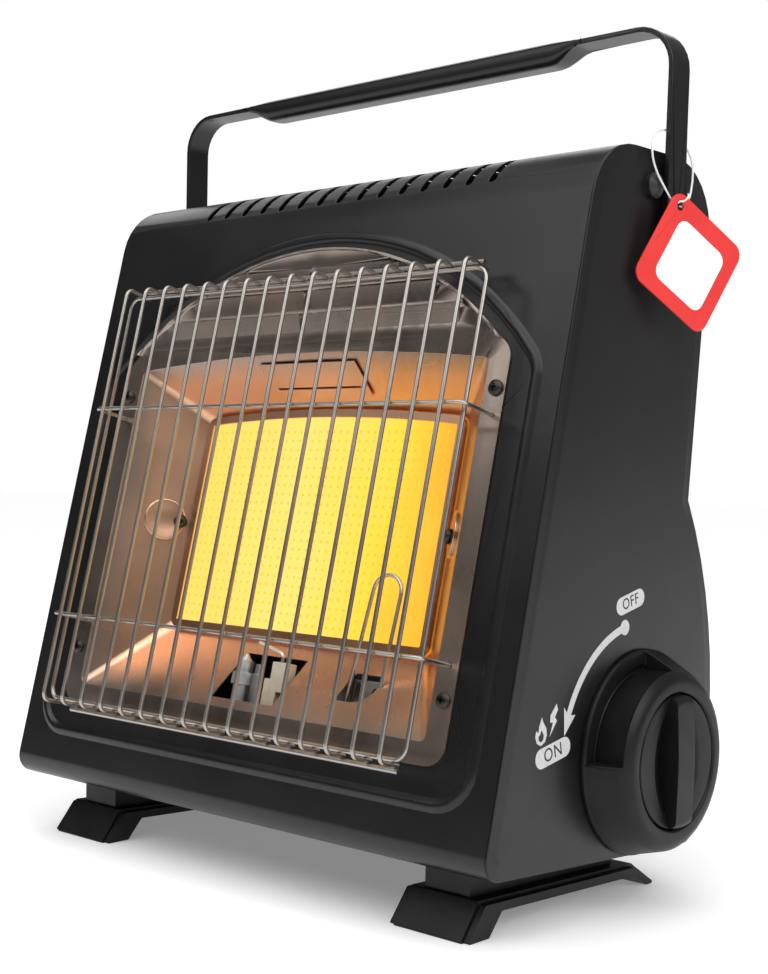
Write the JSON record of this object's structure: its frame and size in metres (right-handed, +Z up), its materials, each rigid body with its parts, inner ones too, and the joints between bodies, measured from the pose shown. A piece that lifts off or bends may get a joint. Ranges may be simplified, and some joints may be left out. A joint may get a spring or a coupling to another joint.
{
  "type": "portable gas heater",
  "caption": "Portable gas heater: leaning sheet-metal casing, glowing ceramic burner behind a wire guard, control knob, folding handle and hinged cartridge door.",
  "frame": {"origin": "middle of the underside of the whole heater, on the table", "axes": "+X to the control-knob side, +Y to the back, +Z up"},
  "size_m": [0.2986, 0.1583, 0.3386],
  "materials": {
    "casing_paint": "smooth satin-gloss black powder coat",
    "black_plastic": "satin",
    "rubber": "matt",
    "polished_steel": "bright polished steel",
    "steel": "plain",
    "galvanised": "galvanised sheet",
    "dark_screw": "blackened",
    "ceramic": "glowing perforated plaque",
    "white_ceramic": "matt white",
    "brass": "turned",
    "copper": "drawn copper tube",
    "tag_card": "coated card",
    "string": "white string"
  },
  "bodies": {
    "casing": {"front_shell": "casing_paint", "rear_shell": "casing_paint", "base_pan": "casing_paint", "side_panel_right": "casing_paint", "side_panel_left": "casing_paint", "casing_screws": "steel", "foot_right": "black_plastic", "foot_left": "black_plastic", "foot_screws": "steel", "reflector": "polished_steel", "reflector_screws": "dark_screw", "ceiling_plate": "polished_steel", "heat_shield": "galvanised", "burner_housing": "galvanised", "ceramic_plaque": "ceramic", "plaque_gasket": "white_ceramic", "burner_frame": "polished_steel", "burner_screws": "steel", "venturi_tube": "galvanised", "injector": "brass", "guard_wires": "polished_steel", "guard_loop": "polished_steel", "guard_rods": "polished_steel", "guard_cross_wires": "polished_steel", "pilot_bracket": "steel", "pilot_burner": "galvanised", "thermocouple": "steel", "electrode": "steel", "electrode_ceramic": "white_ceramic", "flame_wire": "steel", "valve_bracket": "galvanised", "gas_valve": "brass", "valve_nut": "brass", "regulator": "brass", "cartridge_collar": "brass", "cartridge_cradle": "galvanised", "cartridge_spring": "steel", "gas_pipe": "copper", "pilot_pipe": "copper", "piezo_igniter": "black_plastic", "ignition_lead": "rubber", "knob_bezel": "black_plastic", "bezel_screws": "steel", "handle_rivets": "steel", "handle_stops": "rubber", "knob_spring": "steel", "door_hinge_pin": "steel", "door_magnets": "black_plastic"},
    "handle": {"handle": "casing_paint", "tag_string": "string"},
    "tag": {"hang_tag": "tag_card"},
    "spindle": {"spindle": "steel"},
    "knob": {"knob": "black_plastic"},
    "door": {"cartridge_door": "casing_paint", "door_strike": "steel"}
  },
  "joints": [
    {"name": "handle_fold", "type": "hinge", "parent": "casing", "child": "handle", "pos_m": [0, 0.03939, 0.256], "axis": [-1, 0, 0], "range_deg": [0, 150]},
    {"name": "tag_swing", "type": "hinge", "parent": "handle", "child": "tag", "pos_m": [0.13665, 0.03389, 0.2662], "axis": [0.9563, -0.2924, 0], "range_deg": [0, 150]},
    {"name": "knob_turn", "type": "hinge", "parent": "casing", "child": "spindle", "pos_m": [0.13305, 0.02609, 0.0582], "axis": [1, 0, 0], "range_deg": [0, 90]},
    {"name": "knob_press", "type": "slide", "parent": "spindle", "child": "knob", "axis": [-1, 0, 0], "range_m": [0, 0.003], "stiffness_N_per_m": 400, "springref_m": -0.004, "deforming": ["knob_spring"]},
    {"name": "door_swing", "type": "hinge", "parent": "casing", "child": "door", "pos_m": [0, 0.06786, 0.03139], "axis": [-1, 0, 0], "range_deg": [0, 90]}
  ],
  "couplings": [
    {"joint": "tag_swing", "follows": "handle_fold", "ratio": 1}
  ]
}
